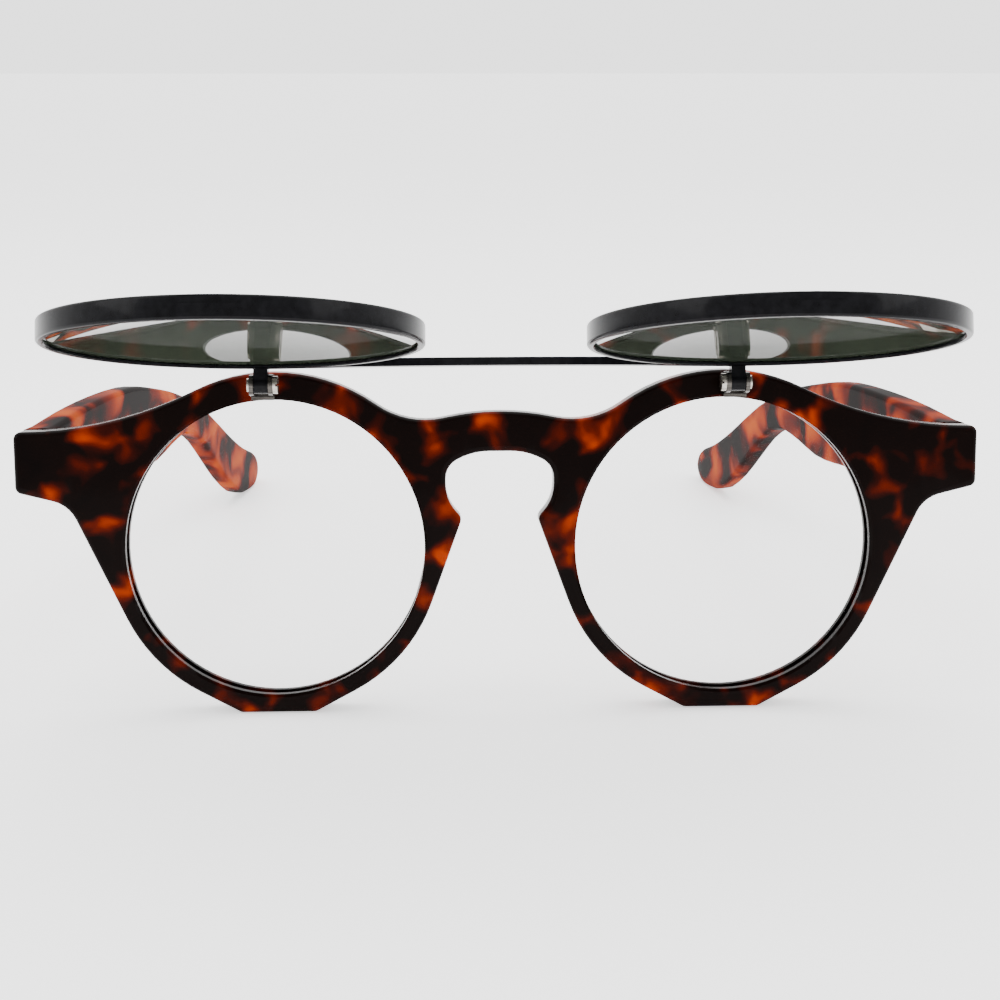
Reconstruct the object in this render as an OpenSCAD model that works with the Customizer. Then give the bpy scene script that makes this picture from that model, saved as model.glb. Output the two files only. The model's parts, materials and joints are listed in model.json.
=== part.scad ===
// Flip up sunglasses: a round plastic front with clear lenses, and a pair of tinted
// lenses in metal rings that swing up on two small hinges above the rims.
// Millimetres. +X is the wearer's left, +Y runs back along the temples, +Z is up.
// The glasses stand on their two rims and their two temple tips, lenses raised.

/* [Front] */
// Width of the front across its two end pieces
front_w = 145; // [141:0.5:150]
// Distance between the centres of the two clear lenses
lens_pitch = 67.8; // [67:0.2:70]
// Diameter of the opening in each rim
opening_d = 45; // [43.5:0.5:45.5]
// Height of the rim above its opening
rim_top = 4.1; // [3.7:0.1:4.8]
// Height of the rim below its opening
rim_bottom = 2.5; // [2.2:0.1:3.2]
// Depth of the rims and the bridge, front to back
front_t = 4.5; // [4:0.1:5.2]
// Depth of the end pieces, front to back
end_t = 5.6; // [5.3:0.1:6.4]
// Height of an end piece
end_h = 9.1; // [8.4:0.1:10]
// Top of an end piece above the lens centre
end_top = 17.9; // [17.2:0.1:18.6]
// Radius of the front's edges
edge_r = 0.8; // [0.5:0.1:0.9]
// Width of the flat foot under each rim
foot_w = 11.4; // [9:0.2:13]

/* [Bridge and nose] */
// Top of the bridge above the lens centre
bridge_top = 20.5; // [20:0.1:21.2]
// Height of the bridge over the keyhole
bridge_h = 6; // [5.4:0.1:6.6]
// Width of the keyhole
keyhole_w = 16.3; // [15.6:0.1:16.9]
// Gap between the two nose corners below the keyhole
nose_gap = 11.4; // [10.8:0.1:12.2]
// How far the moulded nose pads stand behind the rims
pad_depth = 4.6; // [3.5:0.1:5.5]

/* [Clear lenses] */
// Thickness of a clear lens
clear_t = 1.8; // [1.5:0.1:2]
// Radius of a clear lens's front surface
clear_dome = 260; // [200:10:400]
// Depth of the groove that holds each clear lens
clear_groove = 0.5; // [0.4:0.05:0.7]

/* [Temples] */
// Length of a temple from its hinge pin to its tip
temple_l = 141; // [132:1:148]
// Thickness of a temple at its hinge
temple_t = 4.6; // [4.2:0.1:5]
// Thickness of a temple at its tip
tip_t = 3.3; // [2.8:0.1:3.6]
// Height of a temple at its deepest
temple_h = 15.1; // [13:0.1:15.6]
// Height of a temple where it goes over the ear
neck_h = 6.9; // [6.2:0.1:8]
// Height of the flared tip
tip_h = 10.6; // [9.6:0.1:11.4]
// Angle at which the temples lean towards each other
toe_in = 6.7; // [5.8:0.1:7.2]

/* [Temple hinges] */
// Radius of a hinge barrel
barrel_r = 1.5; // [1.35:0.05:1.6]
// Height of a whole barrel
barrel_h = 7.5; // [6.9:0.1:7.8]
// Radius of a hinge screw
pin_r = 0.7; // [0.55:0.05:0.8]
// Thickness of a hinge leaf
leaf_t = 0.8; // [0.6:0.05:0.9]

/* [Flip hinges] */
// Distance from the middle of the front to each flip hinge
hinge_x = 35; // [34.4:0.1:35.6]
// How far the flip pin stands in front of the rims
pivot_out = 4.3; // [4:0.1:4.8]
// Height of the flip pin above the top of the opening
pivot_up = 2.5; // [2.3:0.05:2.8]
// Width of the knuckle on the flip arm
knuckle_w = 2.1; // [1.7:0.1:2.4]
// Thickness of a bracket ear
ear_t = 0.6; // [0.5:0.05:0.8]
// Radius of the flip pin
flip_pin_r = 0.6; // [0.45:0.05:0.7]
// Angle of the raised lenses above square to the front
raise = 9.8; // [4:0.2:16]

/* [Tinted lenses] */
// Distance from the middle to the centre of each tinted lens
tint_x = 35.9; // [35.4:0.1:36.4]
// Outer diameter of a lens ring
ring_d = 50.4; // [49.6:0.2:51.2]
// Depth of a lens ring, front to back
ring_t = 3; // [2.8:0.1:3.4]
// Width of a lens ring's face
ring_w = 1; // [0.9:0.05:1.2]
// Thickness of a tinted lens
tint_t = 1.8; // [1.5:0.05:1.9]
// Radius of a tinted lens's front surface
tint_dome = 88; // [80:2:130]
// Height of the bar that joins the two rings
bar_h = 1.4; // [1.1:0.1:1.8]
// Thickness of the bar
bar_t = 1.2; // [1:0.1:1.5]
// How far the bar bows down at its middle
bar_bow = 2.1; // [0.5:0.1:3]

/* [Hidden] */
$fn = 96;

// Fits and small gaps
seat_gap = 0.05;
pin_gap = 0.03;
side_gap = 0.05;
butt_gap = 0.1;
closed_gap = 0.1;
solder_gap = 0.02;
swing_gap = 0.15;

// Colours
tortoise = [0.16, 0.07, 0.04];
amber = [0.6, 0.25, 0.06];
gunmetal = [0.12, 0.12, 0.13];
steel = [0.6, 0.6, 0.62];
clear = [0.92, 0.95, 0.96, 0.25];
tint = [0.24, 0.26, 0.22, 0.8];

// Front outline
lens_x = lens_pitch / 2;
lens_c = [lens_x, 0];
opening_r = opening_d / 2;
rim_low_r = opening_r + rim_bottom;
rim_high_r = opening_r + rim_top;
end_x = front_w / 2;
end_bottom = end_top - end_h;
end_corner_r = edge_r + 0.3;
underside_slope = 14;
underside_r = 5;
shoulder_r = 58;
rim_top_from = 125;
rim_top_to = 64;
crown_x = 4.1;
valley_run = 5.8;
valley = lens_c + turned([rim_high_r, valley_run], rim_top_from);
crown_turn = atan((bridge_top - valley[1]) / (valley[0] - crown_x));
crown_r = 0.92 * crown_x / tan(crown_turn / 2);
valley_r = 0.95 * valley_run / tan((rim_top_from - 90 + crown_turn) / 2);
flank_angle = -25;
nasal_angle = -160;
foot_drop = 0.3;
foot_z = -(rim_low_r + foot_drop);
foot_r = edge_r + 0.3;
foot_front = 1.4;
keyhole_top = bridge_top - bridge_h;
keyhole_arch_r = 10;
keyhole_shoulder_in = 3.95;
keyhole_shoulder_z = keyhole_top - 2.2;
keyhole_shoulder_r = 3.2;
keyhole_side_z = keyhole_top - 7.35;
keyhole_side_r = 6.2;
nose_corner_z = keyhole_top - 10.1;
nose_corner_r = edge_r + 0.4;
back_edge_r = 0.5;
arc_sag = 0.02;

// Angles at which lines from the foot's corners touch the rim
foot_tangent = atan2(foot_w / 2, -foot_z) + acos(rim_low_r / norm([foot_w / 2, foot_z]));
foot_to = -90 + foot_tangent;
foot_from = -90 - foot_tangent;

// Clear lens seat
groove_front = 1.5;
groove_w = clear_t + 2 * seat_gap + 0.1;
seat_chamfer = 0.4;
clear_r = opening_r + clear_groove - seat_gap;
clear_apex = groove_front + (groove_w - clear_t) / 2 - clear_dome + rise(clear_dome, opening_r);

// End blocks behind the front plate
block_in = 10.6;
block_slope = 1.2;
block_inset = 0.02;

// Nose pads
pad_r = 1.25;
pad_back_r = 1.1;

// Temple hinge
pin_in = 6.2;
pin_back = 2.3;
hinge_mid_z = end_top - end_h / 2;
pin_x = end_x - pin_in;
pin_y = end_t + pin_back;
butt_y = end_t + butt_gap;
knuckle_h = (barrel_h - 2 * side_gap) / 3;
barrel_z = hinge_mid_z - barrel_h / 2;
mid_z = barrel_z + knuckle_h + side_gap;
top_z = mid_z + knuckle_h + side_gap;
leaf_sink = 0.4;
leaf_h = 5.4;
leaf_l = 12.5;
leaf_in = 3.7;
leaf_out = min(barrel_r, pin_in - temple_t / cos(toe_in) - swing_gap);
rivet_r = 0.6;
rivet_l = 2.4;
rivet_up = 1.6;
screw_head_r = 1.25;
screw_head_h = 0.6;
slot_w = 0.35;
slot_h = 0.3;

// Temple plate, across and along from the hinge pin
plate_out = pin_in * cos(toe_in) - (pin_back - butt_gap) * sin(toe_in);
plate_mid = plate_out - temple_t / 2;
plate_in = plate_out - temple_t;
temple_edge_r = 1.1;
temple_start = -4.5;
tip_round = 9;
tip_drop = 17.6;
temple_step = 5;

// Temple stations: distance from the pin, middle height, half height
hinge_half = end_h / 2;
stations = [
    [temple_start, hinge_mid_z, hinge_half],
    [-2, hinge_mid_z, hinge_half],
    [0.085 * temple_l, hinge_mid_z + 0.25, 0.5 * hinge_half + 0.25 * temple_h],
    [0.19 * temple_l, hinge_mid_z + 0.5, 0.17 * hinge_half + 0.415 * temple_h],
    [0.3 * temple_l, hinge_mid_z + 0.5, temple_h / 2],
    [0.385 * temple_l, hinge_mid_z + 0.15, 0.46 * temple_h],
    [0.47 * temple_l, hinge_mid_z + 0.5, 0.22 * temple_h + 0.27 * neck_h],
    [0.555 * temple_l, hinge_mid_z, neck_h / 2],
    [0.635 * temple_l, hinge_mid_z - 2.9, neck_h / 2 + 0.15],
    [0.71 * temple_l, hinge_mid_z - 7.3, neck_h / 4 + tip_h / 4],
    [0.79 * temple_l, hinge_mid_z - 12.2, 0.97 * tip_h / 2],
    [0.87 * temple_l, hinge_mid_z - 15.9, tip_h / 2],
    [0.94 * temple_l, hinge_mid_z - 17.1, 0.82 * tip_h / 2],
    [temple_l, hinge_mid_z - tip_drop, 0.68 * tip_h / 2]
];

// Flip hinge
pivot_z = opening_r + pivot_up;
bore_r = flip_pin_r + pin_gap;
knuckle_r = 1.3;
eye_r = 1.5;
ear_gap = knuckle_w + 2 * side_gap;
bracket_w = ear_gap + 2 * ear_t;
base_t = 0.8;
base_low = 0.15;
base_h = rim_top - 0.35;
base_corner_r = 0.6;
floor_out = 1.6;
floor_h = 0.5;
anchor_r = 0.8;
anchor_l = 2.6;
flip_head_r = 1.3;
flip_head_h = 0.7;
peen_r = 1;
peen_h = 0.3;

// Ring, lens and bar, measured from the flip pin with the lenses upright
ring_r = ring_d / 2;
ring_back = 2.3;
ring_in = ring_r - ring_w;
ring_groove = 0.5;
ring_round = 0.4;
ring_break = 0.15;
tint_r = ring_in + ring_groove - seat_gap;
tint_inner = tint_dome - tint_t;
tint_mid = ring_in + ring_groove / 2;
tint_centre = ring_t / 2 - (rise(tint_dome, tint_mid) + rise(tint_inner, tint_mid)) / 2;
lip_back = tint_centre + rise(tint_inner, tint_r) - seat_gap;
lip_front = tint_centre + rise(tint_dome, ring_in) + seat_gap;
notch_w = 10;
notch_h = 0.3;
notch_back = 1.9;
strap_h = 0.9;
strap_over = 2.5;
web_low = 1.1;
bar_half = hinge_x - knuckle_w / 2 - solder_gap;
bar_r = (bar_half * bar_half + bar_bow * bar_bow) / (2 * bar_bow);
bar_drop = 0.6;
bar_back = ring_back + 0.1;

// Angles of the raised and the shut lenses, and how far the glasses lean to stand
flip_up = 90 + raise;
flip_shut = asin((pivot_out - closed_gap) / norm([ring_d, ring_back])) + atan(ring_back / ring_d);
temple_along = concat(
    [for (s = [temple_start:temple_step:temple_l - tip_round - 1]) s],
    [for (a = [0:15:90]) temple_l - tip_round + tip_round * sin(a)]
);
lean = min([for (s = temple_along) if (s > temple_l / 2)
    let (p = low_edge(s)) atan2(p[1] - foot_z, p[0] - foot_front)]);
tip_y = pin_y + temple_l * cos(toe_in) + plate_mid * sin(toe_in);
tip_reach = turned([tip_y, hinge_mid_z - tip_drop], -lean)[0];
lens_reach = turned([-pivot_out, pivot_z] + turned([-ring_back, -ring_d], -flip_up), -lean)[0];
set_back = -(tip_reach + lens_reach) / 2;
lift = foot_front * sin(lean) - foot_z * cos(lean);

// Height of a dome above its centre, at a radius
function rise(dome, r) = sqrt(dome * dome - r * r);

function unit(v) = v / norm(v);
function flat(p) = [p[0], p[1]];
function turned(v, a) = [v[0] * cos(a) - v[1] * sin(a), v[0] * sin(a) + v[1] * cos(a)];

// Corner where a circle's tangents at two angles meet. Rounded by the circle's own
// radius it gives back the arc between them.
function tangent_corner(c, r, a0, a1) =
    let (mid = (a0 + a1) / 2, d = r / cos((a1 - a0) / 2))
    [c[0] + d * cos(mid), c[1] + d * sin(mid), r];

// Corner where a circle's tangent at an angle meets a line through a point
function tangent_meets(c, r, a, p, line_angle, corner_r) =
    let (
        start = c + r * [cos(a), sin(a)],
        u = [sin(a), -cos(a)],
        v = [cos(line_angle), sin(line_angle)],
        k = cross(p - start, v) / cross(u, v)
    )
    concat(start + k * u, corner_r);

// Point where a line from p touches a circle
function touch(p, c, r, side) =
    c + r * turned(unit(p - c), side * acos(r / norm(p - c)));

// Arc that rounds the corner b of the path a, b, c
function corner_arc(a, b, c) =
    let (
        u = unit(flat(b) - flat(a)),
        v = unit(flat(c) - flat(b)),
        turn = atan2(cross(u, v), u * v),
        start = flat(b) - u * b[2] * tan(abs(turn) / 2),
        centre = start + sign(turn) * b[2] * [-u[1], u[0]],
        steps = max(1, ceil(abs(turn) / (2 * acos(1 - arc_sag / b[2]))))
    )
    [for (i = [0:steps]) centre + turned(start - centre, turn * i / steps)];

function round_path(p) =
    let (n = len(p))
    [for (i = [0:n - 1]) each corner_arc(p[(i + n - 1) % n], p[i], p[(i + 1) % n])];

// The path moved inwards by d. It runs counter-clockwise.
function inset(p, d) =
    let (n = len(p))
    [for (i = [0:n - 1])
        let (
            u = unit(p[i] - p[(i + n - 1) % n]),
            v = unit(p[(i + 1) % n] - p[i]),
            m = unit([-u[1] - v[1], u[0] + v[0]])
        )
        p[i] + m * d / (m * [-v[1], v[0]])];

// Rings of [inset, y] that round a plate's front and back edges
function front_edge(r) = [for (a = [0:22.5:90]) [r * (1 - sin(a)), r * (1 - cos(a))]];
function back_edge(r, y, extra) =
    [for (a = [0:45:90]) [r * (1 - cos(a)) + extra, y - r * (1 - sin(a))]];

// Smooth curve through the temple stations, for column c at distance s
function bend(k, c) =
    let (a = stations[max(k - 1, 0)], b = stations[min(k + 1, len(stations) - 1)])
    (b[c] - a[c]) / (b[0] - a[0]);

function along(s, c) =
    let (
        k = max([for (i = [0:len(stations) - 2]) if (i == 0 || s >= stations[i][0]) i]),
        a = stations[k],
        b = stations[k + 1],
        w = b[0] - a[0],
        t = (s - a[0]) / w,
        t2 = t * t,
        t3 = t2 * t
    )
    (2 * t3 - 3 * t2 + 1) * a[c] + (t3 - 2 * t2 + t) * w * bend(k, c)
    + (3 * t2 - 2 * t3) * b[c] + (t3 - t2) * w * bend(k + 1, c);

// Angle of the temple's middle line, and its half sizes with the tip rounded off
function pitch(s) = atan(along(s + 0.5, 1) - along(s - 0.5, 1));
function tip_part(s) = max(0, (s - temple_l + tip_round) / tip_round);
function half_h(s) = along(s, 2) * sqrt(1 - 0.97 * tip_part(s) * tip_part(s));
function half_t(s) =
    (temple_t + (tip_t - temple_t) * max(0, s) / temple_l) / 2 * (1 - 0.35 * pow(tip_part(s), 3));
function section_r(s) = 0.9 * min(temple_edge_r, half_h(s), half_t(s));

// Section of the temple at distance s from the pin, as [across, along, up]
function section(s) =
    let (h = half_h(s), t = half_t(s), r = section_r(s), a = pitch(s), base = along(s, 1))
    [for (q = [0:3]) for (e = [0:30:90])
        let (
            w = 90 * q + e,
            x = (q == 0 || q == 3 ? t - r : r - t) + r * cos(w),
            v = (q < 2 ? h - r : r - h) + r * sin(w)
        )
        [plate_mid + x, s - v * sin(a), base + v * cos(a)]];

// Lowest outer edge of the temple at distance s, as [y, z] in the front's frame
function low_edge(s) =
    let (
        h = half_h(s),
        a = pitch(s),
        x = plate_mid + half_t(s) - section_r(s),
        back = s + h * sin(a)
    )
    [pin_y + back * cos(toe_in) + x * sin(toe_in), along(s, 1) - h * cos(a)];

// Height of the bar's bow, from zero at its ends
function bar_sag(x) = rise(bar_r, bar_half) - rise(bar_r, x);

// Half of the front's outline on the wearer's left, from the keyhole to the crown
half_outline = [
    [keyhole_w / 2 - keyhole_shoulder_in, keyhole_top, keyhole_arch_r],
    [keyhole_w / 2, keyhole_shoulder_z, keyhole_shoulder_r],
    [keyhole_w / 2, keyhole_side_z, keyhole_side_r],
    [nose_gap / 2, nose_corner_z, nose_corner_r],
    tangent_corner(lens_c, rim_low_r, nasal_angle, foot_from),
    [lens_x - foot_w / 2, foot_z, foot_r],
    [lens_x + foot_w / 2, foot_z, foot_r],
    tangent_corner(lens_c, rim_low_r, foot_to, flank_angle),
    tangent_meets(lens_c, rim_low_r, flank_angle, [end_x, end_bottom], underside_slope, underside_r),
    [end_x, end_bottom, end_corner_r],
    [end_x, end_top, end_corner_r],
    tangent_meets(lens_c, rim_high_r, rim_top_to, [end_x, end_top], 0, shoulder_r),
    tangent_corner(lens_c, rim_high_r, rim_top_to, rim_top_from),
    concat(valley, valley_r),
    [crown_x, bridge_top, crown_r]
];
front_outline = round_path(concat(
    half_outline,
    [for (i = [len(half_outline) - 1:-1:0])
        [-half_outline[i][0], half_outline[i][1], half_outline[i][2]]]
));

// The front's face as polygons of outline points. Each holds no hidden corner seen from
// its first point. Two run round hubs in the lens openings, numbered after the outline.
hub_z = 5;
outline_n = len(front_outline);
crown = outline_n / 2 - 1;
arch = len(corner_arc(
    [half_outline[0][0] - keyhole_w, keyhole_top], half_outline[0], half_outline[1]
));
front_face = [
    concat([outline_n], [for (i = [arch:crown]) i]),
    [outline_n, crown, arch],
    concat([outline_n + 1], [for (i = [crown + 1:outline_n - 1 - arch]) i]),
    [outline_n + 1, outline_n - 1 - arch, crown + 1],
    concat([for (i = [crown:crown + 1]) i], [for (i = [outline_n - 1 - arch:outline_n - 1]) i],
        [for (i = [0:arch]) i])
];

block_outline = round_path([
    [end_x - block_in - 4, end_bottom - (block_in + 4) * tan(underside_slope), 1],
    [end_x, end_bottom, end_corner_r],
    [end_x, end_top, end_corner_r],
    [end_x - block_in - 4, end_top, 1]
]);

module stand() {
    translate([0, set_back, lift]) rotate([-lean, 0, 0]) children();
}

module raised() {
    stand() translate([0, -pivot_out, pivot_z]) rotate([-flip_up, 0, 0]) children();
}

module mirrored() {
    mirror([1, 0, 0]) children();
}

module both() {
    children();
    mirrored() children();
}

// Turns a profile's height to run back, forward or along X
module facing_back() {
    rotate([-90, 0, 0]) children();
}

module facing_front() {
    rotate([90, 0, 0]) children();
}

module crossways() {
    rotate([0, 90, 0]) children();
}

// Extrudes a profile of [y, z] from x0 to x1
module sideways(x0, x1) {
    translate([x0, 0, 0]) rotate([90, 0, 90]) linear_extrude(x1 - x0) children();
}

// Solid skin through rings of points. The first n points of each ring make the sides.
// The end rings are closed by the polygons in caps, each fanned from its first point.
module skin(rings, n, caps) {
    w = len(rings[0]);
    last = (len(rings) - 1) * w;
    faces = concat(
        [for (k = [0:len(rings) - 2]) for (i = [0:n - 1])
            let (j = (i + 1) % n) [k * w + i, k * w + j, (k + 1) * w + j, (k + 1) * w + i]],
        [for (c = caps) concat([c[0]], [for (i = [len(c) - 1:-1:1]) c[i]])],
        [for (c = caps) [for (i = c) last + i]]
    );
    polyhedron([for (r = rings) each r], faces);
}

// Plate over a path in XZ with rounded edges. Hubs are further points of its end faces.
module edged_plate(path, rings, caps, hubs) {
    skin([for (r = rings) [for (p = concat(inset(path, r[0]), hubs)) [p[0], r[1], p[1]]]], len(path), caps);
}

module front_plate() {
    rings = concat(front_edge(edge_r), back_edge(back_edge_r, front_t, 0));
    edged_plate(front_outline, rings, front_face, [[lens_x, hub_z], [-lens_x, hub_z]]);
}

// Thick end of the front that the temple butts against
module end_block() {
    intersection() {
        edged_plate(
            block_outline, concat([[block_inset, 1]], back_edge(back_edge_r, end_t, block_inset)),
            [[for (i = [0:len(block_outline) - 1]) i]], []
        );
        linear_extrude(40, center = true) polygon([
            [end_x - block_in - block_slope, 0],
            [end_x + 1, 0],
            [end_x + 1, end_t + 1],
            [end_x - block_in + 1, end_t + 1],
            [end_x - block_in - block_slope, front_t - 0.1]
        ]);
    }
}

module pad_ball(x, y, z, r) {
    translate([x, y, z]) sphere(r, $fn = 20);
}

module nose_pad() {
    back = front_t + pad_depth - pad_back_r;
    hull() {
        pad_ball(lens_x - rim_low_r, front_t - 0.4, 4.1, pad_r);
        pad_ball(lens_x - rim_low_r + 2.7, front_t - 0.4, -8, pad_r);
        pad_ball(lens_x - rim_low_r + 1.7, back, 3.2, pad_back_r);
        pad_ball(lens_x - rim_low_r + 3.7, back, -5.5, pad_back_r);
    }
}

module lens_seat() {
    translate([lens_x, 0, 0]) facing_back() {
        translate([0, 0, -1]) cylinder(r = opening_r, h = front_t + pad_depth + 2);
        translate([0, 0, groove_front]) cylinder(r = opening_r + clear_groove, h = groove_w);
        translate([0, 0, -seat_chamfer])
            cylinder(r1 = opening_r + 2 * seat_chamfer, r2 = opening_r, h = 2 * seat_chamfer);
    }
}

module foot_cut() {
    translate([0, foot_front, foot_z]) rotate([lean, 0, 0])
        translate([-end_x, -front_t, -5]) cube([front_w, 3 * front_t, 5]);
}

module frame_front() {
    color(tortoise) stand() difference() {
        union() {
            front_plate();
            both() end_block();
            both() nose_pad();
        }
        both() lens_seat();
        both() leaf_seat();
        both() translate([hinge_x, 0, pivot_z]) anchor(pin_gap);
        foot_cut();
    }
}

module clear_lens() {
    translate([lens_x, clear_apex, 0]) facing_back() rotate_extrude() polygon(concat(
        [for (i = [0:8]) let (r = clear_r * i / 8) [r, clear_dome - rise(clear_dome, r)]],
        [for (i = [8:-1:0]) let (r = clear_r * i / 8)
            [r, clear_dome - rise(clear_dome - clear_t, r)]]
    ));
}

module left_clear_lens() {
    color(clear) stand() clear_lens();
}

module right_clear_lens() {
    color(clear) stand() mirrored() clear_lens();
}

// Space in the end piece for the front leaf and its two rivets
module leaf_seat() {
    translate([pin_x - leaf_in - seat_gap, end_t - leaf_sink, hinge_mid_z - leaf_h / 2 - seat_gap])
        cube([leaf_in + leaf_out + 2 * seat_gap, leaf_sink + 1, leaf_h + 2 * seat_gap]);
    front_rivets(pin_gap);
}

module front_rivets(gap) {
    for (side = [-1, 1])
        translate([pin_x - leaf_in / 2 - 0.2, end_t - leaf_sink - rivet_l - gap, hinge_mid_z + side * rivet_up])
            facing_back() cylinder(r = rivet_r + gap, h = rivet_l + gap + 0.3);
}

// One barrel round the pin with a web that runs to its leaf
module front_knuckle(z) {
    web = pin_back + leaf_sink - leaf_t + 0.3;
    translate([pin_x, pin_y, z]) {
        cylinder(r = barrel_r, h = knuckle_h);
        translate([-barrel_r, -web, 0]) cube([barrel_r + 0.5, web, knuckle_h]);
    }
}

module front_leaf() {
    difference() {
        union() {
            translate([pin_x - leaf_in, end_t - leaf_sink, hinge_mid_z - leaf_h / 2])
                cube([leaf_in + leaf_out, leaf_t, leaf_h]);
            front_knuckle(barrel_z);
            front_knuckle(top_z);
            front_rivets(0);
        }
        translate([pin_x, pin_y, mid_z - side_gap])
            cylinder(r = barrel_r + swing_gap, h = knuckle_h + 2 * side_gap);
        translate([pin_x, pin_y, barrel_z - 1]) cylinder(r = pin_r + pin_gap, h = barrel_h + 2);
    }
}

module left_front_leaf() {
    color(steel) stand() front_leaf();
}

module right_front_leaf() {
    color(steel) stand() mirrored() front_leaf();
}

module hinge_screw() {
    top = barrel_h + side_gap;
    translate([pin_x, pin_y, barrel_z]) difference() {
        union() {
            cylinder(r = pin_r, h = top + 0.1);
            translate([0, 0, top]) cylinder(r = screw_head_r, h = screw_head_h);
        }
        translate([-2, -slot_w / 2, top + screw_head_h - slot_h]) cube([4, slot_w, 1]);
    }
}

module left_hinge_screw() {
    color(steel) stand() hinge_screw();
}

module right_hinge_screw() {
    color(steel) stand() mirrored() hinge_screw();
}

// Puts a piece made round the hinge pin, with the temple along Y, into the front's frame
module from_pin() {
    translate([pin_x, pin_y, 0]) rotate([0, 0, toe_in]) children();
}

module temple_rivets(gap) {
    for (part = [0.35, 0.8])
        translate([plate_in, part * leaf_l, hinge_mid_z]) crossways()
            cylinder(r = rivet_r + gap, h = rivet_l + gap);
}

module temple() {
    difference() {
        from_pin() skin([for (s = temple_along) section(s)], 16, [[for (i = [0:15]) i]]);
        translate([0, butt_y - 20, 0]) cube([front_w, 20, 60]);
        from_pin() {
            cylinder(r = barrel_r + swing_gap, h = 40);
            translate([plate_in - 1, 0, hinge_mid_z - leaf_h / 2 - seat_gap])
                cube([1 + leaf_sink + 0.02, leaf_l + seat_gap, leaf_h + 2 * seat_gap]);
            temple_rivets(pin_gap);
        }
    }
}

module left_temple() {
    color(amber) stand() temple();
}

module right_temple() {
    color(amber) stand() mirrored() temple();
}

module temple_leaf() {
    from_pin() difference() {
        union() {
            difference() {
                translate([plate_in + leaf_sink - leaf_t, 0, hinge_mid_z - leaf_h / 2])
                    cube([leaf_t, leaf_l, leaf_h]);
                translate([0, 0, barrel_z - 1]) cylinder(r = barrel_r + swing_gap, h = barrel_h + 2);
            }
            translate([0, 0, mid_z]) {
                cylinder(r = barrel_r, h = knuckle_h);
                cube([plate_in + leaf_sink, barrel_r + 0.6, knuckle_h]);
            }
            temple_rivets(0);
        }
        translate([0, 0, barrel_z - 1]) cylinder(r = pin_r + pin_gap, h = barrel_h + 2);
    }
}

module left_temple_leaf() {
    color(steel) stand() temple_leaf();
}

module right_temple_leaf() {
    color(steel) stand() mirrored() temple_leaf();
}

// Peg that anchors a flip bracket in the rim, from the pin's height at the front face
module anchor(gap) {
    translate([0, -0.4, opening_r + rim_top / 2 - pivot_z]) facing_back()
        cylinder(r = anchor_r + gap, h = anchor_l + 0.4 + gap);
}

module ear(x) {
    top = [pivot_out - base_t / 2, base_low + base_h - pivot_up - 0.1];
    low = [pivot_out - base_t / 2, base_low + floor_h / 2 - pivot_up];
    sideways(x, x + ear_t)
        polygon([top, touch(top, [0, 0], eye_r, 1), [0, 0], touch(low, [0, 0], eye_r, -1), low]);
    translate([x, 0, 0]) crossways() cylinder(r = eye_r, h = ear_t);
}

module bracket_face() {
    r = base_corner_r;
    hull() {
        for (x = [r, bracket_w - r]) {
            translate([x, r]) circle(r, $fn = 24);
            translate([x, base_h - r]) circle(r, $fn = 24);
        }
    }
}

// Bracket on the front face, measured from the flip pin
module flip_bracket() {
    difference() {
        union() {
            translate([-bracket_w / 2, pivot_out - seat_gap / 2, base_low - pivot_up])
                facing_front() linear_extrude(base_t - seat_gap / 2) bracket_face();
            translate([-bracket_w / 2, pivot_out - base_t - floor_out, base_low - pivot_up])
                cube([bracket_w, floor_out + base_t / 2, floor_h]);
            ear(ear_gap / 2);
            ear(-ear_gap / 2 - ear_t);
            translate([0, pivot_out, 0]) anchor(0);
        }
        translate([-5, 0, 0]) crossways() cylinder(r = bore_r, h = 10);
    }
}

module at_flip_pin() {
    translate([hinge_x, -pivot_out, pivot_z]) children();
}

module left_flip_bracket() {
    color(gunmetal) stand() at_flip_pin() flip_bracket();
}

module right_flip_bracket() {
    color(gunmetal) stand() mirrored() at_flip_pin() flip_bracket();
}

// Pin with a slotted head towards the nose and a peened end
module flip_screw() {
    half = bracket_w / 2 + seat_gap;
    difference() {
        crossways() {
            translate([0, 0, -half]) cylinder(r = flip_pin_r, h = 2 * half);
            translate([0, 0, -half - flip_head_h]) cylinder(r = flip_head_r, h = flip_head_h);
            translate([0, 0, half]) cylinder(r = peen_r, h = peen_h);
        }
        translate([-half - flip_head_h - 1, -2, -slot_w / 2]) cube([1 + slot_h, 4, slot_w]);
    }
}

module left_flip_screw() {
    color(steel) stand() at_flip_pin() flip_screw();
}

module right_flip_screw() {
    color(steel) stand() mirrored() at_flip_pin() flip_screw();
}

// Knuckle, web and strap. The strap lies over the ring and is coped to it.
module flip_arm() {
    difference() {
        translate([hinge_x, 0, 0]) {
            crossways() cylinder(r = knuckle_r, h = knuckle_w, center = true);
            sideways(-knuckle_w / 2, knuckle_w / 2) polygon([
                [0, -web_low],
                [-ring_back + solder_gap, -web_low],
                [-ring_back + solder_gap, -0.6],
                [-ring_back - strap_over, -0.6],
                [-ring_back - strap_over, 0.5 * strap_h],
                [-ring_back - strap_over + 0.4, strap_h],
                [-knuckle_r, strap_h],
                [0, knuckle_r]
            ]);
        }
        translate([tint_x, -ring_back + solder_gap, -ring_r]) facing_front()
            cylinder(r = ring_r + solder_gap, h = ring_t + strap_over, $fn = 180);
        translate([hinge_x - 5, 0, 0]) crossways() cylinder(r = bore_r, h = 10);
    }
}

module left_flip_arm() {
    color(gunmetal) raised() flip_arm();
}

module right_flip_arm() {
    color(gunmetal) raised() mirrored() flip_arm();
}

module at_ring() {
    translate([tint_x, -ring_back, -ring_r]) facing_front() children();
}

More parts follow.
